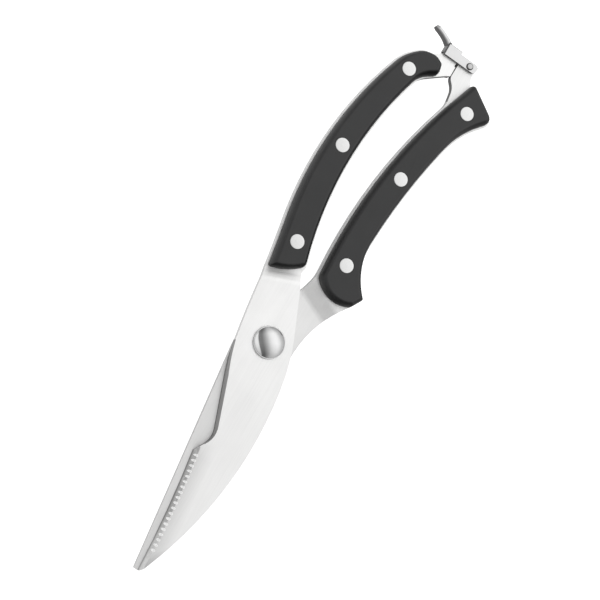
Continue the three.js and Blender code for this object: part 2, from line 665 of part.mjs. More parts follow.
function thumbTab(top, wall) {
  // A curled tab, flared where it leaves the end wall.
  const lean = THREE.MathUtils.degToRad(TAB_ANGLE);
  const tip = corner(top - TAB_LENGTH * Math.sin(lean), wall - TAB_LENGTH * Math.cos(lean));
  const across = corner(LATCH_SHEET * Math.cos(lean), -LATCH_SHEET * Math.sin(lean));
  const strip = plate(outline([
    corner(top, wall + LATCH_SHEET, 0, TAB_CURL),
    corner(tip.x, tip.y, FOLD_ROUND / 2),
    corner(tip.x + across.x, tip.y + across.y, FOLD_ROUND / 2, -TAB_CURL),
    corner(top + LATCH_SHEET, wall + LATCH_SHEET / 2),
  ].map(atLatch)), 0, TOP);
  const root = atLatch(corner(top, wall));
  const start = -root.x * Math.sin(lean) - root.y * Math.cos(lean);
  const widths = [[-LATCH_SHEET, TAB_BASE], [0, TAB_BASE],
    [TAB_FLARE / 2, (TAB_BASE + TAB_WIDTH) / 2], [TAB_FLARE, TAB_WIDTH],
    [TAB_LENGTH - 2 * FOLD_ROUND, TAB_WIDTH], [TAB_LENGTH, TAB_WIDTH - 2 * FOLD_ROUND],
    [TAB_LENGTH + FOLD_ROUND, TAB_WIDTH - 4 * FOLD_ROUND]];
  const profile = [...widths.map(([u, width]) => [start + u, MIDDLE - width / 2]),
    ...widths.toReversed().map(([u, width]) => [start + u, MIDDLE + width / 2])];
  return common(strip, sideProfile(profile, 270 - TAB_ANGLE, 4 * LATCH_REACH));
}

function latchRivet() {
  const [head, shank] = [LATCH_HEAD / 2, LATCH_PIN / 2];
  const grip = STOCK / 2 + SHEET_FIT + LATCH_SHEET + SEAT_GAP;
  const [low, high] = [MIDDLE - grip, MIDDLE + grip];
  const lip = head - LATCH_HEAD_HEIGHT;
  return revolve([[0, low - LATCH_HEAD_HEIGHT], [lip, low - LATCH_HEAD_HEIGHT], [head, low],
    [shank, low], [shank, high], [head, high], [lip, high + LATCH_HEAD_HEIGHT],
    [0, high + LATCH_HEAD_HEIGHT]], PIN_SIDES);
}

// Scene graph

const shears = new THREE.Group();

function add(name, geometry, finish) {
  const mesh = new THREE.Mesh(geometry, new THREE.MeshStandardMaterial(finish));
  mesh.name = name;
  shears.add(mesh);
  return mesh;
}

const BLADE_STEEL = { color: 0xe2e2e2, roughness: 0.35, metalness: 1 };
const POLISHED_STEEL = { color: 0xd8d8d8, roughness: 0.12, metalness: 1 };
const SPRING_STEEL = { color: 0x8c8f92, roughness: 0.4, metalness: 1 };
const BLACK_SCALE = { color: 0x2b2b2c, roughness: 0.55, metalness: 0 };
const RIVET_METAL = { color: 0xe6e6e6, roughness: 0.3, metalness: 1 };

add('serrated_blade', serratedBlade(), BLADE_STEEL);
add('plain_blade', plainBlade(), BLADE_STEEL);

const halves = [['bow', bowScaleCorners, bowRivets], ['guard', guardScaleCorners, guardRivets]];
halves.forEach(([half, corners, rivets]) => {
  add(`${half}_scale_front`, scale(corners, rivets), BLACK_SCALE).position.z = TANG_HIGH;
  const back = scale(corners, rivets).scale(1, 1, -1);
  add(`${half}_scale_back`, closed(back), BLACK_SCALE).position.z = TANG_LOW;
  rivets.forEach(({ x, y }, k) => {
    add(`${half}_rivet_${k + 1}_front`, rivetTube(), RIVET_METAL).position.set(x, y, 0);
    add(`${half}_rivet_${k + 1}_back`, rivetPin(), RIVET_METAL).position.set(x, y, 0);
  });
});

add('pivot_bolt', pivotBolt(), POLISHED_STEEL);
add('pivot_washer', pivotWasher(), SPRING_STEEL);
add('pivot_nut', pivotNut(), POLISHED_STEEL);
add('opening_spring', closed(openingSpring()), SPRING_STEEL);
add('latch', latch(), POLISHED_STEEL);
add('latch_rivet', latchRivet(), RIVET_METAL).position.set(-LATCH_REACH, LATCH_OFFSET, 0);

export default shears;
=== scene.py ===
"""Spring-opening kitchen shears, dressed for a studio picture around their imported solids."""

import logging
import math
from contextlib import contextmanager
from dataclasses import dataclass, field
from enum import Enum
from typing import Callable, Iterator

import bpy
from mathutils import Matrix, Vector


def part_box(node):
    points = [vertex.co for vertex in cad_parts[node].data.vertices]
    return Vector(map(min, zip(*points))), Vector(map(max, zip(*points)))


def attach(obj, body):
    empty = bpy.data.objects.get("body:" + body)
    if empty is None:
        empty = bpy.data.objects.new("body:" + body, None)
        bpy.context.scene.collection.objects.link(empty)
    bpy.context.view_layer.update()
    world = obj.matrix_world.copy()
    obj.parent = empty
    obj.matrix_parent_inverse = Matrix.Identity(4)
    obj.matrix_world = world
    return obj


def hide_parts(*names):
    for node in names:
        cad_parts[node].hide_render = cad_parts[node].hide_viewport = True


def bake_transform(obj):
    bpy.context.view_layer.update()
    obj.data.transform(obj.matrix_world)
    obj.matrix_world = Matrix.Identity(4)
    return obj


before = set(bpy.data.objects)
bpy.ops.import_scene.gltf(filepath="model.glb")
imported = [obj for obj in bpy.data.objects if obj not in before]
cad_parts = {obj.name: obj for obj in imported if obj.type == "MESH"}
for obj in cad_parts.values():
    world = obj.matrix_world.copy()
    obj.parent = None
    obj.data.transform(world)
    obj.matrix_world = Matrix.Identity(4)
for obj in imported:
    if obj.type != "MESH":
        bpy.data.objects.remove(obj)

MM = 0.001
WELD = 0.002 * MM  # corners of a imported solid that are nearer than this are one
SLIVER = 0.001 * MM  # gaps and edges shorter than this are closed up
FLAT = math.radians(0.3)  # faces that meet at less than this are one flat face
X_AXIS, Z_AXIS = (1, 0, 0), (0, 0, 1)
EVEN = Vector((1, 1, 1))
LOG = logging.getLogger("shears")

Piece = bpy.types.Object
Socket = bpy.types.NodeSocket
Profile = list[tuple[float, float]]
Range = tuple[float, float]
Triple = tuple[float, float, float]


class Body(Enum):
    """The parts of the shears that move as one."""

    GUARD = "guard_half"
    BOW = "bow_half"
    LATCH = "latch"


class Slot(Enum):
    """The finishes that the record names."""

    BLADE = "blade_steel"
    SCALE = "black_scale"
    RIVET = "rivet_steel"
    PIVOT = "pivot_chrome"
    SPRING = "spring_steel"
    LATCH = "latch_chrome"


class Face(Enum):
    """The two sides of the handle."""

    FRONT = "front"
    BACK = "back"


class Side(Enum):
    """The two ways off a line that runs along a blade."""

    EDGE = 1
    SPINE = -1


class Zone(Enum):
    """The places on a steel half that are worked differently, by material slot; some also carry
    painted shade and painted highlight, and the tang walls are darkened with painted shade alone.
    """

    FACE = 0
    EDGE = 1
    NOTCH = 2
    GROOVE = 3
    SHADED_SIDE = 4


class Fold(Enum):
    """The places on the latch that look different, by material slot: walls facing -y or +x and the
    tab's face carry painted shade.
    """

    POLISHED = 0
    SHADED_SIDE = 1
    SHADED_TAB = 2


class Picked(Enum):
    """What is selected in edit mode."""

    CORNERS = "VERT"
    EDGES = "EDGE"


class Shaping(Enum):
    """What a tool does to a piece."""

    JOIN = "UNION"
    CUT = "DIFFERENCE"
    TRIM = "INTERSECT"


HANDLES = (("bow", Body.BOW), ("guard", Body.GUARD))
RIVETS = (1, 2, 3)


# Modelling by hand


def pick_nothing() -> None:
    """Deselects every object."""
    bpy.ops.object.select_all(action="DESELECT")


def pick(piece: Piece) -> None:
    """Selects one object and makes it the active one.

    Args:
        piece: the object to work on.
    """
    pick_nothing()
    piece.select_set(True)
    bpy.context.view_layer.objects.active = piece


@contextmanager
def editing(piece: Piece, picked: Picked = Picked.CORNERS) -> Iterator[bpy.types.Mesh]:
    """Opens a piece in edit mode with nothing selected.

    Args:
        piece: the object to edit.
        picked: what is selected in it.

    Returns:
        A context with the piece's mesh.
    """
    pick(piece)
    bpy.ops.object.mode_set(mode="EDIT")
    bpy.ops.mesh.select_mode(type=picked.value)
    bpy.ops.mesh.select_all(action="DESELECT")
    yield piece.data
    bpy.ops.object.mode_set(mode="OBJECT")


def copy_of(node: str, name: str) -> Piece:
    """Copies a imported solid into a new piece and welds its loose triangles.

    Args:
        node: the solid's name.
        name: the new piece's name.

    Returns:
        The new piece, at the origin.
    """
    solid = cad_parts[node]
    piece = bpy.data.objects.new(name, solid.data.copy())
    piece.data.name = name
    piece.data.materials.clear()
    bpy.context.scene.collection.objects.link(piece)
    with editing(piece):
        bpy.ops.mesh.select_all(action="SELECT")
        bpy.ops.mesh.remove_doubles(threshold=WELD)
        bpy.ops.mesh.dissolve_degenerate(threshold=SLIVER)
    return piece


def copy_piece(piece: Piece, name: str) -> Piece:
    """Copies a piece with a mesh of its own.

    Args:
        piece: the piece to copy.
        name: the copy's name.

    Returns:
        The copy, in the same place.
    """
    copy = piece.copy()
    copy.data = piece.data.copy()
    copy.name = copy.data.name = name
    bpy.context.scene.collection.objects.link(copy)
    return copy


def flatten(piece: Piece) -> None:
    """Dissolves the edges inside flat faces.

    Args:
        piece: the object to clean.
    """
    with editing(piece):
        bpy.ops.mesh.select_all(action="SELECT")
        bpy.ops.mesh.dissolve_limited(angle_limit=FLAT)


def turn(name: str, profile: Profile, sides: int = 64) -> Piece:
    """Turns a profile round the upright axis, as on a lathe.

    Args:
        name: the new piece's name.
        profile: pairs of radius and height in metres, from the axis back to the axis.
        sides: steps of the turn.

    Returns:
        A closed piece round the origin's upright axis.
    """
    pick_nothing()
    bpy.ops.mesh.primitive_plane_add(size=MM, location=(0, 0, 0))
    piece = bpy.context.active_object
    piece.name = piece.data.name = name
    with editing(piece):
        bpy.ops.mesh.select_all(action="SELECT")
        bpy.ops.mesh.merge(type="CENTER")
        radius, height = profile[0]
        bpy.ops.transform.translate(value=(radius, 0, height))
        for (r0, z0), (r1, z1) in zip(profile, profile[1:]):
            bpy.ops.mesh.extrude_region_move(TRANSFORM_OT_translate={"value": (r1 - r0, 0, z1 - z0)})
        bpy.ops.mesh.select_all(action="SELECT")
        bpy.ops.mesh.spin(steps=sides, angle=math.tau, center=(0, 0, 0), axis=Z_AXIS)
        bpy.ops.mesh.select_all(action="SELECT")
        bpy.ops.mesh.remove_doubles(threshold=SLIVER)
        bpy.ops.mesh.normals_make_consistent(inside=False)
    return piece


def rounded(inner: Range, corner: Range, outer: Range, radius: float, steps: int) -> Profile:
    """Rounds a corner of a lathe profile.

    Args:
        inner: the point before the corner.
        corner: the sharp corner.
        outer: the point after the corner.
        radius: how far from the corner the round starts and ends.
        steps: pieces of the round.

    Returns:
        The points of the round, first to last.
    """
    middle = Vector(corner)
    start = middle + (Vector(inner) - middle).normalized() * radius
    end = middle + (Vector(outer) - middle).normalized() * radius
    points = []
    for k in range(steps + 1):
        share = k / steps
        first, second = start.lerp(middle, share), middle.lerp(end, share)
        points.append(tuple(first.lerp(second, share)))
    return points


def soft_profile(points: Profile, rounds: dict[int, float], steps: int = 5) -> Profile:
    """Rounds chosen corners of a lathe profile.

    Args:
        points: the profile with sharp corners.
        rounds: the size of the round at each corner, by the corner's place in the list.
        steps: pieces of each round.

    Returns:
        The profile with those corners rounded.
    """
    soft: Profile = []
    for k, point in enumerate(points):
        if k in rounds:
            soft += rounded(points[k - 1], point, points[k + 1], rounds[k], steps)
        else:
            soft.append(point)
    return soft


def move(piece: Piece, to: Vector) -> None:
    """Moves a piece's mesh, leaving its object at the origin.

    Args:
        piece: the object whose mesh moves.
        to: how far it moves.
    """
    with editing(piece):
        bpy.ops.mesh.select_all(action="SELECT")
        bpy.ops.transform.translate(value=to)


def edge_angles(mesh: bpy.types.Mesh) -> dict[int, tuple[float, Vector, Vector]]:
    """Measures how sharply the faces meet along each edge.

    Args:
        mesh: the mesh to measure.

    Returns:
        For each edge with two faces, its turn in degrees and the two faces' normals.
    """
    faces: dict[tuple[int, int], list[int]] = {}
    for face in mesh.polygons:
        for key in face.edge_keys:
            faces.setdefault(key, []).append(face.index)
    found = {}
    for edge in mesh.edges:
        beside = faces.get(tuple(sorted(edge.vertices)), [])
        if len(beside) == 2:
            first, second = (mesh.polygons[k].normal.copy() for k in beside)
            found[edge.index] = (math.degrees(first.angle(second, 0)), first, second)
    return found


def soften_edges(piece: Piece, width: float, segments: int,
                 weight: Callable[[Vector, float, Vector, Vector], float]) -> None:
    """Rounds the edges of a piece, each by its own share of a width.

    Args:
        piece: the object to round.
        width: the widest round.
        segments: strips in each round.
        weight: gives the share from the edge's middle, its turn in degrees and its two normals.
    """
    mesh = piece.data
    layer = mesh.attributes.new("bevel_weight_edge", "FLOAT", "EDGE")
    for index, (degrees, first, second) in edge_angles(mesh).items():
        ends = [mesh.vertices[k].co for k in mesh.edges[index].vertices]
        middle = (ends[0] + ends[1]) / 2
        layer.data[index].value = weight(middle, degrees, first, second)
    pick(piece)
    bevel = piece.modifiers.new("edge_round", "BEVEL")
    bevel.width = width
    bevel.segments = segments
    bevel.limit_method = "WEIGHT"
    bevel.use_clamp_overlap = False
    bevel.miter_outer = "MITER_ARC"
    bpy.ops.object.modifier_apply(modifier=bevel.name)
    layer = mesh.attributes.get("bevel_weight_edge")
    if layer is not None:
        mesh.attributes.remove(layer)


def smooth(piece: Piece, degrees: float, weighted: bool = False) -> None:
    """Shades a piece smoothly, apart from edges sharper than an angle.

    Args:
        piece: the object to shade.
        degrees: the angle from which an edge stays sharp.
        weighted: lets large flat faces keep their own direction.
    """
    pick(piece)
    bpy.ops.object.shade_smooth_by_angle(angle=math.radians(degrees))
    if weighted:
        even = piece.modifiers.new("flat_faces", "WEIGHTED_NORMAL")
        even.keep_sharp = True
        even.weight = 100
        bpy.ops.object.modifier_apply(modifier=even.name)


def box_between(name: str, low: Vector, high: Vector) -> Piece:
    """Makes a block from corner to corner.

    Args:
        name: the block's name.
        low: its lowest corner.
        high: its highest corner.

    Returns:
        The block, with its object at the origin.
    """
    pick_nothing()
    bpy.ops.mesh.primitive_cube_add(size=1)
    block = bpy.context.active_object
    block.name = block.data.name = name
    with editing(block):
        bpy.ops.mesh.select_all(action="SELECT")
        bpy.ops.transform.resize(value=high - low)
        bpy.ops.transform.translate(value=(low + high) / 2)
    return block


def combine(piece: Piece, tool: Piece, shaping: Shaping) -> None:
    """Joins, cuts or trims a piece with a tool, and removes the tool.

    Args:
        piece: the piece that stays.
        tool: the shape that works on it.
        shaping: what the tool does.
    """
    pick(piece)
    modifier = piece.modifiers.new("shaping", "BOOLEAN")
    modifier.object = tool
    modifier.operation = shaping.value
    modifier.solver = "EXACT"
    bpy.ops.object.modifier_apply(modifier=modifier.name)
    bpy.data.objects.remove(tool)


def centre_of(node: str) -> Vector:
    """Finds the middle of a solid's box."""
    low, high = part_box(node)
    return (low + high) / 2


def mark_radius(piece: Piece) -> None:
    """Keeps each corner's distance from the upright axis for a turned finish to read.

    Args:
        piece: the object, still round the origin's axis.
    """
    layer = piece.data.attributes.new("turn_radius", "FLOAT", "POINT")
    for vertex in piece.data.vertices:
        layer.data[vertex.index].value = vertex.co.xy.length


def stand_for(piece: Piece, node: str, body: Body) -> None:
    """Puts a finished piece in a solid's place.

    Args:
        piece: the finished piece.
        node: the solid it stands for.
        body: what it moves with.
    """
    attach(piece, body.value)
    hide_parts(node)
    LOG.info("%s stands for %s and moves with %s", piece.name, node, body.value)


# Finishes


class Nodes:
    """The nodes of a finish or of the sky, added and linked in a few words."""

    def __init__(self, tree: bpy.types.NodeTree) -> None:
        """Takes the tree that the nodes go into."""
        self.tree = tree

    def add(self, kind: str, **settings: object) -> bpy.types.Node:
        """Adds a node.

        Args:
            kind: the node's type, without its leading word.
            settings: values of its inputs, by name with _ for a space, or of its own properties.

        Returns:
            The new node.
        """
        node = self.tree.nodes.new("ShaderNode" + kind)
        for key, value in settings.items():
            if hasattr(node, key):
                setattr(node, key, value)
            else:
                node.inputs[key.replace("_", " ")].default_value = value
        return node

    def link(self, output: Socket, node: bpy.types.Node, name: str | int) -> None:
        """Links an output to a node's input."""
        self.tree.links.new(output, node.inputs[name])

    def math(self, operation: str, *values: Socket | float) -> Socket:
        """Works out a value from others.

        Args:
            operation: how the values combine.
            values: sockets, or plain numbers.

        Returns:
            The result.
        """
        node = self.add("Math", operation=operation)
        for k, value in enumerate(values):
            if isinstance(value, (int, float)):
                node.inputs[k].default_value = value
            else:
                self.link(value, node, k)
        return node.outputs["Value"]

    def plus(self, first: Socket, second: Socket) -> Socket:
        """Adds two values."""
        return self.math("ADD", first, second)

    def times(self, first: Socket, second: Socket | float) -> Socket:
        """Multiplies two values."""
        return self.math("MULTIPLY", first, second)

    def along(self, place: Socket, way: Triple) -> Socket:
        """Finds how far a place or a direction reaches along an axis.

        Args:
            place: the place or direction.
            way: the axis, one long.

        Returns:
            The reach.
        """
        node = self.add("VectorMath", operation="DOT_PRODUCT")
        node.inputs[1].default_value = way
        self.link(place, node, 0)
        return node.outputs["Value"]

    def spread(self, value: Socket, low: float, high: float,
               start: float = 0.25, end: float = 0.75) -> Socket:
        """Spreads a value over a range.

        Args:
            value: what is spread.
            low: the result at start.
            high: the result at end.
            start: the value that gives low.
            end: the value that gives high.

        Returns:
            The spread value.
        """
        ranged = self.add("MapRange", From_Min=start, From_Max=end, To_Min=low, To_Max=high)
        self.link(value, ranged, "Value")
        return ranged.outputs["Result"]

    def ramp(self, value: Socket, stops: Profile) -> Socket:
        """Turns a value into a brightness.

        Args:
            value: what the ramp reads.
            stops: pairs of value and brightness, lowest value first.

        Returns:
            The brightness.
        """
        first, last = stops[0][0], stops[-1][0]
        ramp = self.add("ValToRGB")
        elements = ramp.color_ramp.elements
        while len(elements) < len(stops):
            elements.new(0.5)
        for element, (at, bright) in zip(elements, stops):
            element.position = (at - first) / (last - first)
            element.color = (bright, bright, bright, 1)
        self.link(self.spread(value, 0, 1, first, last), ramp, "Fac")
        return ramp.outputs["Color"]


class NodeSheet(Nodes):
    """A material's nodes, around its shader."""

    def __init__(self, name: str) -> None:
        """Starts a new material with its shader.

        Args:
            name: the material's name.
        """
        self.material = bpy.data.materials.new(name)
        self.material.use_nodes = True
        super().__init__(self.material.node_tree)
        self.shader = self.tree.nodes["Principled BSDF"]

    def place(self) -> Socket:
        """Gives the place on the piece, in metres."""
        return self.add("TexCoord").outputs["Object"]

    def marked(self, name: str) -> Socket:
        """Gives a number that is kept on the piece's corners."""
        return self.add("Attribute", attribute_name=name).outputs["Fac"]

    def grain(self, size: Vector, turned: float = 0, detail: float = 4) -> Socket:
        """Makes noise that is stretched like grain.

        Args:
            size: length of the grain along each axis, in metres.
            turned: angle of the grain about the upright axis, in radians.
            detail: levels of finer noise.

        Returns:
            The noise, from 0 to 1.
        """
        turn_grain = self.add("Mapping", vector_type="TEXTURE", Rotation=(0, 0, turned), Scale=size)
        noise = self.add("TexNoise", Scale=1.0, Detail=detail, Roughness=0.6)
        self.link(self.place(), turn_grain, "Vector")
        self.link(turn_grain.outputs["Vector"], noise, "Vector")
        return noise.outputs["Fac"]

    def grey(self, value: Socket, tint: Triple) -> None:
        """Colours the shader by a brightness and a tint.

        Args:
            value: the brightness.
            tint: the share of each colour.
        """
        colour = self.add("CombineColor")
        for name, share in zip(("Red", "Green", "Blue"), tint):
            self.link(self.times(value, share), colour, name)
        self.link(colour.outputs["Color"], self.shader, "Base Color")

    def roughen(self, value: Socket) -> None:
        """Gives the shader its roughness."""
        self.link(value, self.shader, "Roughness")

    def bump(self, height: Socket, depth: float, strength: float) -> None:
        """Raises the surface by a height.

        Args:
            height: the height, from 0 to 1.
            depth: the height of 1, in metres.
            strength: how strongly it shows.
        """
        node = self.add("Bump", Distance=depth, Strength=strength)
        self.link(height, node, "Height")
        self.link(node.outputs["Normal"], self.shader, "Normal")

    def set(self, **values: object) -> None:
        """Sets the shader's plain values, by name with _ for a space."""
        for key, value in values.items():
            self.shader.inputs[key.replace("_", " ")].default_value = value


@dataclass(frozen=True)
class BrushedSteel:
    """Stainless sheet with fine parallel grain, whose tone may carry painted shade and light towards
    a tip, an edge or teeth.
    """

    name: str
    bright: float = 0.95
    vary: float = 0.04
    metallic: float = 1.0
    tint: Triple = (1.0, 0.998, 0.992)
    rough: float = 0.48
    rough_vary: Range = (-0.05, 0.07)
    grain_angle: float = 0.0
    grain_length: float = 9 * MM
    grain_width: float = 0.09 * MM
    grain_depth: float = 0.006 * MM
    grain_show: float = 0.35
    grain_pull: float = 0.35
    streaks: float = 5
    lines: Range = (0.12, 0.36)
    smudge: float = 14 * MM
    smudge_vary: float = 0.05
    # Painted shade and light: the tone scales along the blade, by height from the cutting edge and by
    # distance from the teeth.
    tip_shade: float = 1.0
    tip_reach: Range = (50 * MM, 104 * MM)
    edge_shade: float = 1.0
    edge_level: float = 6.35 * MM
    edge_band: Range = (0.2 * MM, 0.8 * MM)
    teeth_shade: float = 1.0
    teeth_way: Triple = (-0.101, 0.995, 0)
    teeth_reach: Range = (-7.1 * MM, -0.6 * MM)
    teeth_start: Range = (46 * MM, 54 * MM)

    def material(self) -> bpy.types.Material:
        """Builds the finish.

        Returns:
            The finished material.
        """
        sheet = NodeSheet(self.name)
        size = Vector((self.grain_length, self.grain_width, self.grain_width))
        fine = sheet.grain(size, self.grain_angle, 5)
        streak = sheet.grain(size * self.streaks, self.grain_angle, 2)
        smudge = sheet.grain(EVEN * self.smudge)
        lines = sheet.times(fine, streak)
        shade = sheet.spread(lines, self.bright - self.vary, self.bright, *self.lines)
        sheet.grey(self.faded(sheet, shade), self.tint)
        smoothest, roughest = self.rough_vary
        polish = sheet.spread(smudge, -self.smudge_vary, self.smudge_vary)
        brushed = sheet.spread(fine, self.rough + smoothest, self.rough + roughest)
        sheet.roughen(sheet.plus(polish, brushed))
        sheet.bump(fine, self.grain_depth, self.grain_show)
        sheet.set(Metallic=self.metallic, Anisotropic=self.grain_pull)
        return sheet.material

    def faded(self, sheet: NodeSheet, shade: Socket) -> Socket:
        """Paints shade and light into the tone towards the tip, the cutting edge and the teeth.

        Args:
            sheet: the finish's nodes.
            shade: the tone of the sheet.

        Returns:
            The faded tone.
        """
        if self.tip_shade == self.edge_shade == self.teeth_shade == 1:
            return shade
        place = sheet.place()
        reach = sheet.along(place, X_AXIS)
        if self.tip_shade != 1:
            shade = sheet.times(shade, sheet.spread(reach, 1, self.tip_shade, *self.tip_reach))
        if self.edge_shade != 1:
            height = sheet.along(place, Z_AXIS)
            away = sheet.math("ABSOLUTE", sheet.math("SUBTRACT", height, self.edge_level))
            shade = sheet.times(shade, sheet.spread(away, self.edge_shade, 1, *self.edge_band))
        if self.teeth_shade != 1:
            inward = sheet.along(place, self.teeth_way)
            near = sheet.spread(inward, 1 - self.teeth_shade, 0, *self.teeth_reach)
            dimmed = sheet.times(near, sheet.spread(reach, 0, 1, *self.teeth_start))
            shade = sheet.times(shade, sheet.spread(dimmed, 1, 0, 0, 1))
        return shade


@dataclass(frozen=True)
class MouldedPlastic:
    """Black plastic with a fine mould texture, polished a little where hands rub its rim; the rim is
    painted a little lighter (wear and painted sheen) and marked walls are painted darker (painted
    shade).
    """

    name: str
    bright: float = 0.024
    vary: float = 0.1
    tint: Triple = (1.0, 1.0, 1.02)
    rough: float = 0.47
    rough_vary: float = 0.05
    gloss: float = 0.5
    ior: float = 1.49
    pebble: float = 0.32 * MM
    pebble_depth: float = 0.02 * MM
    pebble_show: float = 0.25
    speck: float = 0.002
    patch: float = 11 * MM
    wear_and_sheen: float = 0.006
    rubbed: float = -0.08
    # How dark and dull the marked walls are painted: painted shade.
    end_shade: float = 0.2

    def material(self) -> bpy.types.Material:
        """Builds the finish.

        Returns:
            The finished material.
        """
        sheet = NodeSheet(self.name)
        pebble = sheet.grain(EVEN * self.pebble, 0, 3)
        patch = sheet.grain(EVEN * self.patch, 0, 3)
        rim, shaded_wall = sheet.marked("rim"), sheet.marked("shaded_wall")
        tone = sheet.spread(patch, self.bright * (1 - self.vary), self.bright * (1 + self.vary))
        # Marked walls are painted darker: painted shade.
        tone = sheet.times(tone, sheet.spread(shaded_wall, 1, self.end_shade, 0, 1))
        # A little lighter towards the rim: wear and painted sheen.
        wear_and_sheen = sheet.spread(rim, 0, self.wear_and_sheen, 0, 1)
        speck = sheet.spread(pebble, -self.speck, self.speck)
        sheet.grey(sheet.plus(sheet.plus(tone, wear_and_sheen), speck), self.tint)
        satin = sheet.spread(pebble, self.rough - self.rough_vary, self.rough + self.rough_vary)
        sheet.roughen(sheet.plus(satin, sheet.spread(rim, 0, self.rubbed, 0, 1)))
        # Marked walls also reflect less: part of the same painted shade.
        gloss = sheet.spread(shaded_wall, self.gloss, self.gloss * self.end_shade, 0, 1)
        sheet.link(gloss, sheet.shader, "Specular IOR Level")
        sheet.bump(pebble, self.pebble_depth, self.pebble_show)
        sheet.set(IOR=self.ior)
        return sheet.material


@dataclass(frozen=True)
class TurnedSteel:
    """Steel with the fine rings that a lathe tool leaves, read from a radius on the piece, with
    painted shade beyond a chosen radius.
    """

    name: str
    bright: float = 0.86
    vary: float = 0.05
    tint: Triple = (1.0, 1.0, 0.995)
    rough: float = 0.3
    rough_vary: float = 0.05
    ring: float = 0.16 * MM
    ring_depth: float = 0.008 * MM
    ring_show: float = 0.3
    lines: Range = (0.12, 0.36)
    scratch: float = 0.5 * MM
    # Painted shade beyond a radius, round the head's edge.
    head_shade: float = 0.2
    head_shade_from: float = 0.0
    head_shade_fade: float = 0.1 * MM

    def material(self) -> bpy.types.Material:
        """Builds the finish.

        Returns:
            The finished material.
        """
        sheet = NodeSheet(self.name)
        radius = sheet.marked("turn_radius")
        noise = sheet.add("TexNoise", noise_dimensions="1D", Scale=1.0, Detail=3.0)
        sheet.link(sheet.math("DIVIDE", radius, self.ring), noise, "W")
        rings = noise.outputs["Fac"]
        scratch = sheet.grain(EVEN * self.scratch, 0, 5)
        lines = sheet.times(rings, scratch)
        shade = sheet.spread(lines, self.bright - self.vary, self.bright, *self.lines)
        if self.head_shade_from:
            shade_end = self.head_shade_from + self.head_shade_fade
            shade = sheet.times(shade, sheet.spread(radius, 1, self.head_shade, self.head_shade_from, shade_end))
        sheet.grey(shade, self.tint)
        sheet.roughen(sheet.spread(rings, self.rough - self.rough_vary, self.rough + self.rough_vary))
        sheet.bump(rings, self.ring_depth, self.ring_show)
        sheet.set(Metallic=1.0)
        return sheet.material


@dataclass(frozen=True)
class PolishedSteel:
    """Bright steel with faint hair scratches, which may be painted darker towards its foot (painted
    shade).
    """

    name: str
    bright: float = 0.82
    vary: float = 0.04
    tint: Triple = (1.0, 1.0, 1.0)
    rough: float = 0.14
    rough_vary: Range = (-0.03, 0.05)
    scratch: float = 0.12 * MM
    scratch_shape: Triple = (30, 1, 6)
    scratch_angle: float = 0.6
    scratch_depth: float = 0.003 * MM
    scratch_show: float = 0.2
    smudge: float = 3 * MM
    # Painted shade: darker towards the foot.
    low_shade: float = 1.0
    low_reach: Range = (0.0, 1 * MM)

    def material(self) -> bpy.types.Material:
        """Builds the finish.

        Returns:
            The finished material.
        """
        sheet = NodeSheet(self.name)
        hair = sheet.grain(Vector(self.scratch_shape) * self.scratch, self.scratch_angle, 4)
        smudge = sheet.grain(EVEN * self.smudge, 0, 3)
        shade = sheet.spread(hair, self.bright - self.vary, self.bright)
        if self.low_shade != 1:
            height = sheet.along(sheet.place(), Z_AXIS)
            shade = sheet.times(shade, sheet.spread(height, self.low_shade, 1, *self.low_reach))
        sheet.grey(shade, self.tint)
        smoothest, roughest = self.rough_vary
        sheet.roughen(sheet.spread(smudge, self.rough + smoothest, self.rough + roughest))
        sheet.bump(hair, self.scratch_depth, self.scratch_show)
        sheet.set(Metallic=1.0)
        return sheet.material


# Sub-assemblies


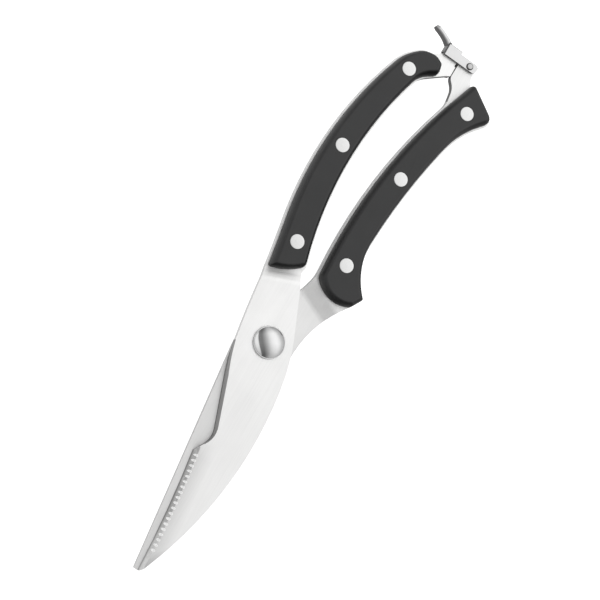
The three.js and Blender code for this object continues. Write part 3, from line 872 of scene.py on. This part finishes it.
@dataclass
class Blades:
    """The two steel halves: ground blades, stepped necks and tangs."""

    edge_round: float = 0.14 * MM
    burr_turn: float = 40.0
    bend_round: float = 1.1 * MM
    bend_strips: int = 4
    bend_turn: Range = (12.0, 42.0)
    bend_level: float = 0.7
    bend_reach: float = 14 * MM
    blade_start: float = -22 * MM
    top_level: float = 0.99
    bevel_tilt: Range = (0.6, 0.66)
    bevel_aside: float = 0.2
    notch_tilt: Range = (0.01, 0.5)
    notch_reach: Range = (4 * MM, 50 * MM)
    notch_middle: float = 30 * MM
    notch_wall: float = 52.7 * MM
    groove_flattest: float = 0.9995
    tang_end: float = -132 * MM
    shaded_tilt: float = 0.3
    sharp_from: float = 38
    # The serrated face is painted darker towards the teeth: painted shade.
    serrated_steel: BrushedSteel = BrushedSteel(
        "brushed_serrated_steel", bright=0.96, teeth_shade=0.8)
    # The plain face is painted darker from the tang towards the tip: painted shade.
    plain_steel: BrushedSteel = BrushedSteel(
        "brushed_plain_steel", bright=0.89, tip_shade=0.88, tip_reach=(-140 * MM, 104 * MM))
    # The ground bevel is painted darker than the face, with a painted shadow line along the cutting
    # edge and painted light towards the tip; its cross grain and roughness are the grind's own.
    ground_shaded_edge_steel: BrushedSteel = BrushedSteel(
        "ground_edge_painted_shade_and_light", bright=0.6, vary=0.08, rough=0.4, grain_angle=math.radians(80),
        grain_length=2 * MM, tip_shade=1.6, tip_reach=(78 * MM, 100 * MM), edge_shade=0.55)
    honed_steel: BrushedSteel = BrushedSteel(
        "honed_edge_steel", bright=0.8, vary=0.06, rough=0.4, grain_angle=math.radians(80),
        grain_length=2 * MM)
    # The grooves are painted brighter than white, partly diffuse: a painted highlight on their ground
    # finish.
    highlit_groove_steel: BrushedSteel = BrushedSteel(
        "ground_groove_painted_highlight", bright=1.3, vary=0.02, rough=0.3, grain_angle=math.radians(80),
        grain_length=1 * MM, metallic=0.4)
    # The ground notch wall is painted dark, darker still along its foot: painted shade.
    ground_shaded_notch_steel: BrushedSteel = BrushedSteel(
        "ground_notch_painted_shade", bright=0.45, vary=0.08, rough=0.45, grain_angle=math.radians(-60),
        grain_length=2 * MM, edge_shade=0.5)
    # Tang walls facing -y or +x are painted dark: painted shade.
    shaded_wall_steel: BrushedSteel = BrushedSteel(
        "painted_shade_tang_wall", bright=0.24, vary=0.06, rough=0.4, grain_angle=math.radians(90),
        grain_length=1 * MM)

    def build(self) -> None:
        """Makes both halves; the plain one has no notch or grooves to finish."""
        shaded_side = self.shaded_wall_steel.material()
        halves = (("serrated_blade", Body.BOW, (self.serrated_steel, self.ground_shaded_edge_steel,
                                                self.ground_shaded_notch_steel, self.highlit_groove_steel)),
                  ("plain_blade", Body.GUARD, (self.plain_steel, self.honed_steel)))
        for node, body, steels in halves:
            finishes = [steel.material() for steel in steels]
            unworked = [finishes[0]] * (Zone.SHADED_SIDE.value - len(finishes))
            piece = copy_of(node, node + "_ground")
            flatten(piece)
            self.draw_notch(piece)
            soften_edges(piece, self.bend_round, self.bend_strips, self.edge_share)
            self.dress(piece, [*finishes, *unworked, shaded_side])
            smooth(piece, self.sharp_from, weighted=True)
            stand_for(piece, node, body)

    def draw_notch(self, piece: Piece) -> None:
        """Draws the upper and lower edge of the bone notch's wall along smooth lines.

        Args:
            piece: the steel half; one without a notch stays as it is.
        """
        mesh = piece.data
        start, end = self.notch_reach
        low, high = self.notch_tilt
        wall, top = set(), set()
        for face in mesh.polygons:
            if start < face.center.x < end and low < face.normal.z < high:
                wall.update(face.vertices)
            elif face.normal.z > self.top_level:
                top.update(face.vertices)
        foot = min((mesh.vertices[k].co.z for k in wall), default=0)
        for corners in (wall & top, wall - top):
            run = sorted((mesh.vertices[k] for k in corners), key=lambda vertex: vertex.co.x)
            entry = [vertex for vertex in run if vertex.co.x < self.notch_middle]
            self.pull_taut(entry, Side.EDGE)
            self.pull_taut(run[len(entry):], Side.SPINE)
        for k in wall - top:
            mesh.vertices[k].co.z = foot
        with editing(piece):
            bpy.ops.mesh.select_all(action="SELECT")
            bpy.ops.mesh.dissolve_degenerate(threshold=SLIVER)

    def pull_taut(self, run: list[bpy.types.MeshVertex], side: Side) -> None:
        """Moves the corners of a line onto a string pulled tight along one side of it.

        Args:
            run: the corners, in order along the blade.
            side: where the string lies.
        """
        string: list[Vector] = []
        for point in (vertex.co.xy for vertex in run):
            while len(string) > 1:
                last, back = string[-1] - string[-2], point - string[-2]
                if side.value * last.cross(back) > 0:
                    break
                string.pop()
            string.append(point)
        for first, second in zip(string, string[1:]):
            for vertex in run:
                if first.x <= vertex.co.x <= second.x:
                    share = (vertex.co.x - first.x) / (second.x - first.x)
                    vertex.co.y = first.lerp(second, share).y

    def edge_share(self, middle: Vector, degrees: float, first: Vector, second: Vector) -> float:
        """Finds how much an edge is rounded: bends of the neck fully, burrs of the tang a little.

        Args:
            middle: the edge's middle.
            degrees: how far the surface turns there.
            first: the normal on one side.
            second: the normal on the other.

        Returns:
            The share of the bend's round.
        """
        least, most = self.bend_turn
        level = min(abs(first.z), abs(second.z)) > self.bend_level
        if level and least < degrees < most:
            return 1.0 if middle.x < self.blade_start + self.bend_reach else 0.0
        if degrees < self.burr_turn or middle.x > self.blade_start:
            return 0.0
        return self.edge_round / self.bend_round

    def dress(self, piece: Piece, finishes: list[bpy.types.Material]) -> None:
        """Gives each zone its finish.

        Args:
            piece: the steel half.
            finishes: one for each zone, in the zones' order.
        """
        for finish in finishes:
            piece.data.materials.append(finish)
        for face in piece.data.polygons:
            face.material_index = self.zone_of(face.center, face.normal).value

    def zone_of(self, place: Vector, normal: Vector) -> Zone:
        """Finds the zone that a face belongs to.

        Args:
            place: the face's middle.
            normal: the way it faces.

        Returns:
            The zone.
        """
        start, end = self.notch_reach
        low, high = self.bevel_tilt
        if place.x > start and low < abs(normal.z) < high and abs(normal.x) < self.bevel_aside:
            return Zone.EDGE
        low, high = self.notch_tilt
        if start < place.x < self.notch_wall and -low < normal.z < high and normal.y < 0:
            return Zone.NOTCH
        # Tang walls facing -y or +x take the painted shade.
        outward = min(normal.y, -normal.x)
        if place.x < self.tang_end and max(abs(normal.z), outward) < self.shaded_tilt:
            return Zone.SHADED_SIDE
        if place.x > end and low < normal.z < self.groove_flattest:
            return Zone.GROOVE
        return Zone.FACE


@dataclass
class Scales:
    """The four moulded scales with their rounded rims."""

    height: float = 4.8 * MM
    rim_width: float = 2.4 * MM
    solid_rings: tuple[float, ...] = (0, 32, 58, 77, 90)
    strips: int = 3
    seat_radius: float = 3.6 * MM
    # Walls facing these ways are painted darker and less glossy: painted shade.
    shaded_wall_ways: tuple[Vector, ...] = (Vector((0.864, 0.503, 0)), Vector((-0.503, 0.864, 0)))
    shaded_wall_from: Range = (0.3, 0.8)
    sharp_from: float = 34
    plastic: MouldedPlastic = MouldedPlastic("moulded_black_scale")

    def build(self) -> None:
        """Makes the four scales."""
        plastic = self.plastic.material()
        for half, body in HANDLES:
            rivets = [centre_of(f"{half}_rivet_{k}_front") for k in RIVETS]
            for face in Face:
                node = f"{half}_scale_{face.value}"
                piece = copy_of(node, node + "_moulded")
                self.round_rim(piece, node, face, rivets)
                flatten(piece)
                self.mark_shaded_wall(piece, rivets)
                piece.data.materials.append(plastic)
                smooth(piece, self.sharp_from, weighted=True)
                stand_for(piece, node, body)

    def off_seats(self, place: Vector, rivets: list[Vector]) -> bool:
        """Says whether a place lies outside the rivets' seats."""
        return all((place - rivet).xy.length > self.seat_radius for rivet in rivets)

    def mark_shaded_wall(self, piece: Piece, rivets: list[Vector]) -> None:
        """Marks the walls that are painted darker and less glossy: painted shade.

        Args:
            piece: the scale.
            rivets: the rivets' axes, whose seats stay as they are.
        """
        start, full = self.shaded_wall_from
        layer = piece.data.attributes.new("shaded_wall", "FLOAT", "POINT")
        for vertex in piece.data.vertices:
            if self.off_seats(vertex.co, rivets):
                facing = max(vertex.normal.dot(way) for way in self.shaded_wall_ways)
                share = (facing - start) / (full - start)
                layer.data[vertex.index].value = max(0.0, min(1.0, share))

    def round_rim(self, piece: Piece, node: str, face: Face, rivets: list[Vector]) -> None:
        """Cuts finer strips round the rim and lifts them to the true round.

        Args:
            piece: the scale.
            node: the solid it comes from.
            face: which side of the handle it is on.
            rivets: the rivets' axes.
        """
        low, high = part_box(node)
        base, up = (low.z, 1) if face is Face.FRONT else (high.z, -1)
        angles = [math.radians(a) for a in self.solid_rings]
        levels = [self.height * math.sin(a) for a in angles]
        with editing(piece):
            for lower, upper in zip(levels, levels[1:]):
                for k in range(1, self.strips):
                    level = lower + (upper - lower) * k / self.strips
                    bpy.ops.mesh.select_all(action="SELECT")
                    bpy.ops.mesh.bisect(plane_co=(0, 0, base + up * level), plane_no=Z_AXIS)
        rim = piece.data.attributes.new("rim", "FLOAT", "POINT")
        for vertex in piece.data.vertices:
            height = (vertex.co.z - base) * up
            outward = 1 - self.depth_at(height, angles, levels) / self.rim_width
            rim.data[vertex.index].value = outward
            if self.off_seats(vertex.co, rivets):
                lean = math.acos(max(0.0, min(1.0, outward)))
                vertex.co.z = base + up * self.height * math.sin(lean)

    def depth_at(self, height: float, angles: list[float], levels: list[float]) -> float:
        """Finds how far inside the rim a height of the solid lies.

        Args:
            height: above the tang.
            angles: the solid's rings, as angles of the round.
            levels: the heights of those rings.

        Returns:
            The depth from the rim.
        """
        for k in range(len(levels) - 1):
            if height <= levels[k + 1] or k == len(levels) - 2:
                share = (height - levels[k]) / (levels[k + 1] - levels[k])
                first, second = (1 - math.cos(a) for a in angles[k:k + 2])
                return self.rim_width * (first + (second - first) * share)
        return self.rim_width


@dataclass
class CutleryRivets:
    """Six two-part rivets with turned heads."""

    head: float = 3.1 * MM
    head_height: float = 1.2 * MM
    head_rings: int = 4
    tube: float = 2 * MM
    stem: float = 1.1 * MM
    overlap: float = 2.5 * MM
    fit: float = 0.08 * MM
    seat: float = 0.05 * MM
    rim: float = 0.16 * MM
    crown: float = 0.06 * MM
    sharp_from: float = 30
    steel: TurnedSteel = TurnedSteel("turned_rivet_steel", bright=0.72)

    def build(self) -> None:
        """Makes one rivet and copies it to each place."""
        steel = self.steel.material()
        low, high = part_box("bow_rivet_1_front")
        masters = {Face.FRONT: self.tube_half(low.z, high.z), Face.BACK: self.pin_half(low.z)}
        for face, master in masters.items():
            mark_radius(master)
            master.data.materials.append(steel)
            smooth(master, self.sharp_from)
            for half, body in HANDLES:
                for k in RIVETS:
                    node = f"{half}_rivet_{k}_{face.value}"
                    piece = copy_piece(master, node + "_turned")
                    centre = centre_of(node)
                    move(piece, Vector((centre.x, centre.y, 0)))
                    stand_for(piece, node, body)
            bpy.data.objects.remove(master)

    def tube_half(self, middle: float, top: float) -> Piece:
        """Turns the half with the bore; its head is in the front scale.

        Args:
            middle: the height where the halves meet.
            top: the height of the head's crown.

        Returns:
            The half, round the origin's axis.
        """
        bore, depth = self.stem + self.fit, middle + self.overlap + self.seat
        shoulder = top - self.head_height
        points = [(0, depth), (bore, depth), (bore, middle), (self.tube, middle),
                  (self.tube, shoulder), (self.head, shoulder), (self.head, top - self.crown),
                  (0, top)]
        return turn("rivet_tube", self.with_rings(soft_profile(points, {6: self.rim})))

    def pin_half(self, middle: float) -> Piece:
        """Turns the half with the pin; its head is in the back scale.

        Args:
            middle: the height where the halves meet.

        Returns:
            The half, round the origin's axis.
        """
        collar = middle - self.seat
        points = [(0, middle + self.overlap), (self.stem, middle + self.overlap),
                  (self.stem, collar), (self.tube, collar), (self.tube, self.head_height),
                  (self.head, self.head_height), (self.head, self.crown), (0, 0)]
        return turn("rivet_pin", self.with_rings(soft_profile(points, {6: self.rim})))

    def with_rings(self, points: Profile) -> Profile:
        """Splits the last run of a profile, across the head, into rings.

        Args:
            points: the profile.

        Returns:
            The profile with the rings' points.
        """
        (r0, z0), (r1, z1) = points[-2:]
        rings = self.head_rings
        split = [(r0 + (r1 - r0) * k / rings, z0 + (z1 - z0) * k / rings) for k in range(1, rings)]
        return points[:-1] + split + points[-1:]


@dataclass
class PivotSet:
    """The domed bolt, its washer and slotted nut, and the opening spring."""

    crown: float = 6.3 * MM
    crown_rings: int = 18
    rim_height: float = 0.7 * MM
    rim_round: float = 0.25 * MM
    valley: float = 0.14 * MM
    seat: float = 0.05 * MM
    shank: float = 3.9 * MM
    thread: float = 2.5 * MM
    fit: float = 0.08 * MM
    chamfer: float = 0.35 * MM
    washer_edge: float = 0.12 * MM
    nut_slot: float = 1.6 * MM
    nut_slot_depth: float = 0.9 * MM
    spring_give: float = 0.25 * MM
    sides: int = 96
    bolt_sharp_from: float = 38
    ring_sharp_from: float = 30
    wire_sharp_from: float = 40
    chrome: PolishedSteel = PolishedSteel("polished_pivot_steel", bright=0.66, rough=0.09)
    washer_steel: TurnedSteel = TurnedSteel("turned_washer_steel", bright=0.6, rough=0.36)
    wire: BrushedSteel = BrushedSteel(
        "drawn_spring_wire", bright=0.45, rough=0.4, grain_length=1 * MM)

    def build(self) -> None:
        """Makes the bolt, nut, washer and spring."""
        chrome = self.chrome.material()
        for piece, node in ((self.bolt(), "pivot_bolt"), (self.nut(), "pivot_nut")):
            piece.data.materials.append(chrome)
            stand_for(piece, node, Body.GUARD)
        washer = self.washer()
        washer.data.materials.append(self.washer_steel.material())
        stand_for(washer, "pivot_washer", Body.GUARD)
        self.wind_spring()

    def wind_spring(self) -> None:
        """Copies and finishes the spring in its place, attached to neither half; its lower leg bears
        on the guard half, its upper one on the bow.
        """
        spring = copy_of("opening_spring", "opening_spring_wound")
        spring.data.materials.append(self.wire.material())
        smooth(spring, self.wire_sharp_from)
        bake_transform(spring)
        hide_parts("opening_spring")
        LOG.info("%s stands for opening_spring and winds between the halves", spring.name)

    def bolt(self) -> Piece:
        """Turns the bolt with its domed head and thin rim.

        Returns:
            The bolt, on the pivot's axis.
        """
        low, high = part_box("pivot_bolt")
        washer_low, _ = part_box("pivot_washer")
        _, blade_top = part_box("serrated_blade")
        head, top, shoulder = high.x, high.z, washer_low.z
        seat = blade_top.z + self.seat
        rise = top - seat - self.rim_height
        ball = (self.crown**2 + rise**2) / (2 * rise)
        spread = math.asin(self.crown / ball)
        rim = seat + self.rim_height
        points = [(0, low.z), (self.thread, low.z), (self.thread, shoulder),
                  (self.shank, shoulder), (self.shank, seat), (head, seat), (head, rim),
                  (self.crown + self.valley, rim), (self.crown, rim - self.valley)]
        points = soft_profile(points, {1: self.chamfer, 6: self.rim_round, 7: self.valley / 2})
        for k in range(self.crown_rings + 1):
            lean = spread * (1 - k / self.crown_rings)
            points.append((ball * math.sin(lean), top - ball * (1 - math.cos(lean))))
        piece = turn("pivot_bolt_polished", points, self.sides)
        smooth(piece, self.bolt_sharp_from)
        return piece

    def washer(self) -> Piece:
        """Turns the washer.

        Returns:
            The washer, on the pivot's axis.
        """
        low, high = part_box("pivot_washer")
        inner, outer, edge = self.shank + self.fit, high.x, self.washer_edge
        points = [(inner, low.z), (outer - edge, low.z), (outer, low.z + edge),
                  (outer, high.z - edge), (outer - edge, high.z), (inner, high.z), (inner, low.z)]
        piece = turn("pivot_washer_turned", points, self.sides)
        mark_radius(piece)
        smooth(piece, self.ring_sharp_from)
        return piece

    def nut(self) -> Piece:
        """Turns the nut and cuts the driver slot across it.

        Returns:
            The nut, on the pivot's axis.
        """
        low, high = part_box("pivot_nut")
        inner, outer = self.thread + self.fit, high.x
        points = [(inner, low.z), (outer, low.z), (outer, high.z), (inner, high.z), (inner, low.z)]
        points = soft_profile(points, {1: self.chamfer, 2: self.chamfer})
        piece = turn("pivot_nut_polished", points, self.sides)
        reach = Vector((outer + MM, self.nut_slot / 2, self.nut_slot_depth))
        combine(piece, box_between("driver_slot", -reach, reach), Shaping.CUT)
        smooth(piece, self.ring_sharp_from)
        return piece


@dataclass
class Latch:
    """The folded sheet latch and its rivet."""

    fold: float = 0.85 * MM
    fold_strips: int = 6
    back: float = 4 * MM
    length: float = 13 * MM
    tab_width: float = 2.7 * MM
    tab_root: float = 1.4 * MM
    tab_lap: float = 0.02 * MM
    tab_start: float = 0.5 * MM
    near: float = 0.1 * MM
    head: float = 1.6 * MM
    head_flat: float = 1.2 * MM
    head_height: float = 0.6 * MM
    head_crown: float = 0.1
    head_side: float = 0.75
    head_round: float = 0.15 * MM
    pin: float = 1.1 * MM
    sides: int = 48
    shaded: float = 0.35
    sheet_sharp_from: float = 32
    rivet_sharp_from: float = 40
    chrome: PolishedSteel = PolishedSteel("polished_latch_sheet", bright=0.67, rough=0.3)
    # Walls facing -y or +x are painted dark: painted shade.
    shaded_side: PolishedSteel = PolishedSteel("painted_shade_latch_side", bright=0.22, rough=0.3)
    # The tab's face is painted darker towards its foot: painted shade.
    shaded_tab: PolishedSteel = PolishedSteel(
        "painted_shade_latch_tab", bright=0.8, rough=0.3, low_shade=0.2, low_reach=(7 * MM, 8.8 * MM))
    # The latch rivet's head is painted dark round its edge: painted shade.
    steel: TurnedSteel = TurnedSteel("turned_latch_rivet", bright=0.5, head_shade_from=1.1 * MM)

    def build(self) -> None:
        """Makes the sheet and the rivet."""
        sheet = copy_of("latch", "latch_folded")
        flatten(sheet)
        self.round_folds(sheet)
        self.dress(sheet)
        smooth(sheet, self.sheet_sharp_from, weighted=True)
        stand_for(sheet, "latch", Body.LATCH)
        rivet = self.rivet()
        rivet.data.materials.append(self.steel.material())
        stand_for(rivet, "latch_rivet", Body.GUARD)

    def dress(self, sheet: Piece) -> None:
        """Gives the sheet its polish, paints shade on its walls that face -y or +x, and paints shade
        towards the foot of the tab's face.

        Args:
            sheet: the folded sheet.
        """
        for finish in (self.chrome, self.shaded_side, self.shaded_tab):
            sheet.data.materials.append(finish.material())
        _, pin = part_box("latch_rivet")
        wall = pin.y - self.head - self.length - self.tab_start
        for face in sheet.data.polygons:
            fold = Fold.POLISHED
            if face.center.y < wall:
                # The tab's face takes the painted shade.
                if face.normal.x > self.shaded:
                    fold = Fold.SHADED_TAB
            # Walls facing -y or +x take the painted shade.
            elif max(-face.normal.y, face.normal.x) > self.shaded:
                fold = Fold.SHADED_SIDE
            face.material_index = fold.value

    def round_folds(self, sheet: Piece) -> None:
        """Keeps only what lies inside a block with rounded folds, and the thumb tab.

        Args:
            sheet: the folded sheet.
        """
        low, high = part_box("latch")
        axis = centre_of("latch_rivet")
        corner = Vector((axis.x - self.back, axis.y - self.length, low.z))
        block = box_between("fold_block", corner, high + Vector((MM, MM, 0)))
        with editing(block, Picked.EDGES) as mesh:
            bpy.ops.object.mode_set(mode="OBJECT")
            for edge in mesh.edges:
                ends = [mesh.vertices[k].co for k in edge.vertices]
                level = abs(ends[0].z - ends[1].z) < self.near
                folded = any(all(end[k] < corner[k] + self.near for end in ends) for k in (0, 1))
                edge.select = level and folded
            bpy.ops.object.mode_set(mode="EDIT")
            bpy.ops.mesh.bevel(offset=self.fold, segments=self.fold_strips)
        half = Vector((0, 0, self.tab_width))
        outside = Vector((low.x - MM, low.y - MM, axis.z))
        beyond_wall = Vector((axis.x, corner.y + self.tab_lap, axis.z))
        beyond_top = Vector((corner.x + self.tab_lap, corner.y + self.tab_root, axis.z))
        for far in (beyond_wall, beyond_top):
            combine(block, box_between("tab_block", outside - half, far + half), Shaping.JOIN)
        combine(sheet, block, Shaping.TRIM)

    def rivet(self) -> Piece:
        """Turns the rivet with its two low heads.

        Returns:
            The rivet, in its place.
        """
        low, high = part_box("latch_rivet")
        height = self.head_height
        crown, side = self.head_crown * height, self.head_side * height
        points = [(0, low.z), (self.head_flat, low.z + crown), (self.head, low.z + side),
                  (self.head, low.z + height), (self.pin, low.z + height),
                  (self.pin, high.z - height), (self.head, high.z - height),
                  (self.head, high.z - side), (self.head_flat, high.z - crown), (0, high.z)]
        points = soft_profile(points, {1: self.head_round, 8: self.head_round})
        piece = turn("latch_rivet_turned", points, self.sides)
        mark_radius(piece)
        centre = centre_of("latch_rivet")
        move(piece, Vector((centre.x, centre.y, 0)))
        smooth(piece, self.rivet_sharp_from)
        return piece


# Studio


@dataclass
class PhotoCamera:
    """The camera, found from where the pivot and the tip lie in a square picture."""

    picture: float = 600
    focal: float = 1482
    distance: float = 600 * MM
    pivot_pixel: Range = (269.0, 342.6)
    tip_pixel: Range = (137.5, 568.5)
    face_height: float = 9.35 * MM
    lean_right: float = math.radians(18)
    lean_up: float = math.radians(5)
    sensor: float = 36
    clip: Range = (10 * MM, 20)

    def ray(self, pixel: Range) -> Vector:
        """Gives the direction through a pixel, with a depth of 1."""
        half = self.picture / 2
        return Vector(((pixel[0] - half) / self.focal, (half - pixel[1]) / self.focal, -1))

    def build(self) -> None:
        """Places the camera."""
        right, up = math.sin(self.lean_right), math.sin(self.lean_up)
        normal = Vector((right, up, math.sqrt(1 - right**2 - up**2)))
        pivot, tip = self.ray(self.pivot_pixel) * self.distance, self.ray(self.tip_pixel)
        tip *= pivot.dot(normal) / tip.dot(normal)
        along = (tip - pivot).normalized()
        turned = Matrix((along, normal.cross(along), normal))
        place = turned @ -pivot + Vector((0, 0, self.face_height))
        data = bpy.data.cameras.new("photo_camera")
        data.sensor_width = self.sensor
        data.lens = self.sensor * self.focal / self.picture
        data.clip_start, data.clip_end = self.clip
        camera = bpy.data.objects.new("photo_camera", data)
        camera.matrix_world = Matrix.Translation(place) @ turned.to_4x4()
        bpy.context.scene.collection.objects.link(camera)
        bpy.context.scene.camera = camera
        LOG.info("%s looks at the pivot", camera.name)


@dataclass(frozen=True)
class SoftBox:
    """A soft light overhead that faces the pivot."""

    name: str = "overhead_box"
    place: Triple = (-0.42, 0.62, 1.25)
    size: Range = (1.1, 1.0)
    radiance: float = 0.25
    mirrored: bool = False

    def build(self) -> None:
        """Hangs the light."""
        width, height = self.size
        place = Vector(self.place)
        data = bpy.data.lights.new(self.name, "AREA")
        data.shape = "RECTANGLE"
        data.size, data.size_y = self.size
        data.energy = self.radiance * math.pi * width * height
        lamp = bpy.data.objects.new(self.name, data)
        lamp.visible_glossy = self.mirrored
        lamp.rotation_mode = "QUATERNION"
        lamp.rotation_quaternion = (-place).to_track_quat("-Z", "Y")
        lamp.location = place
        bpy.context.scene.collection.objects.link(lamp)


@dataclass
class Studio:
    """A white floor under a soft sky in bands, with one dim band above the shears."""

    floor_size: float = 6
    floor_drop: float = 0.2 * MM
    floor_colour: tuple[float, float, float, float] = (0.5, 0.5, 0.5, 1)
    floor_rough: float = 0.9
    floor_glow: Range = (0.35, 1.0)
    sky_peak: float = 1.5
    across: Triple = (-0.503, 0.864, 0)
    along: Triple = (-0.864, -0.503, 0)
    slant: float = 0.2
    by_angle: Profile = field(default_factory=lambda: [
        (-180, 0.5), (-90, 0.5), (-62, 0.6), (-51, 1.25), (-38.5, 1.25), (-36, 0.3), (-19, 0.29),
        (-11, 0.43), (-2, 0.63), (6, 0.82), (15, 1.1), (24, 1.28), (35, 1.38), (48, 1.43),
        (60, 1.25), (72, 0.9), (90, 0.6), (180, 0.5)])
    by_end: Profile = field(default_factory=lambda: [
        (-1, 0.4), (-0.79, 0.52), (-0.56, 0.75), (-0.27, 0.9), (0, 1), (0.64, 0.98), (0.76, 0.84),
        (0.88, 0.6), (1, 0.36)])
    light: SoftBox = SoftBox()

    def build(self) -> None:
        """Makes the floor, the sky and the light."""
        self.lay_floor()
        self.paint_sky()
        self.light.build()
        bpy.context.scene.view_settings.view_transform = "Standard"
        LOG.info("the studio has its floor, sky and light")

    def lay_floor(self) -> None:
        """Lays the floor just under the shears; its glow keeps the picture's ground white."""
        pick_nothing()
        bpy.ops.mesh.primitive_plane_add(size=self.floor_size, location=(0, 0, -self.floor_drop))
        plane = bpy.context.active_object
        plane.name = "studio_floor"
        sheet = NodeSheet("pale_floor")
        seen = sheet.add("LightPath").outputs["Is Camera Ray"]
        glow = sheet.spread(seen, *self.floor_glow, 0, 1)
        sheet.link(glow, sheet.shader, "Emission Strength")
        sheet.set(Base_Color=self.floor_colour, Roughness=self.floor_rough,
                  Emission_Color=(1, 1, 1, 1))
        plane.data.materials.append(sheet.material)

    def paint_sky(self) -> None:
        """Paints the sky: bands that run along the picture's height, dimmer at its ends."""
        world = bpy.data.worlds.new("studio_sky")
        bpy.context.scene.world = world
        world.use_nodes = True
        sky = Nodes(world.node_tree)
        way = sky.add("TexCoord").outputs["Generated"]
        across, along, up = (sky.along(way, axis) for axis in (self.across, self.along, Z_AXIS))
        angle = sky.math("ARCTAN2", across, up)
        slanted = sky.math("MULTIPLY_ADD", along, self.slant, angle)
        bands = [(math.radians(degrees), bright / self.sky_peak) for degrees, bright in self.by_angle]
        shade = sky.times(sky.ramp(slanted, bands), sky.ramp(along, self.by_end))
        ground = sky.tree.nodes["Background"]
        ground.inputs["Strength"].default_value = self.sky_peak
        sky.link(shade, ground, "Color")


def main() -> None:
    """Builds the camera, the shears and the studio in order."""
    logging.basicConfig(level=logging.INFO, format="%(name)s: %(message)s")
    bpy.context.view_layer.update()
    PhotoCamera().build()
    for assembly in (Blades(), Scales(), CutleryRivets(), PivotSet(), Latch(), Studio()):
        assembly.build()


if __name__ == "__main__":
    main()
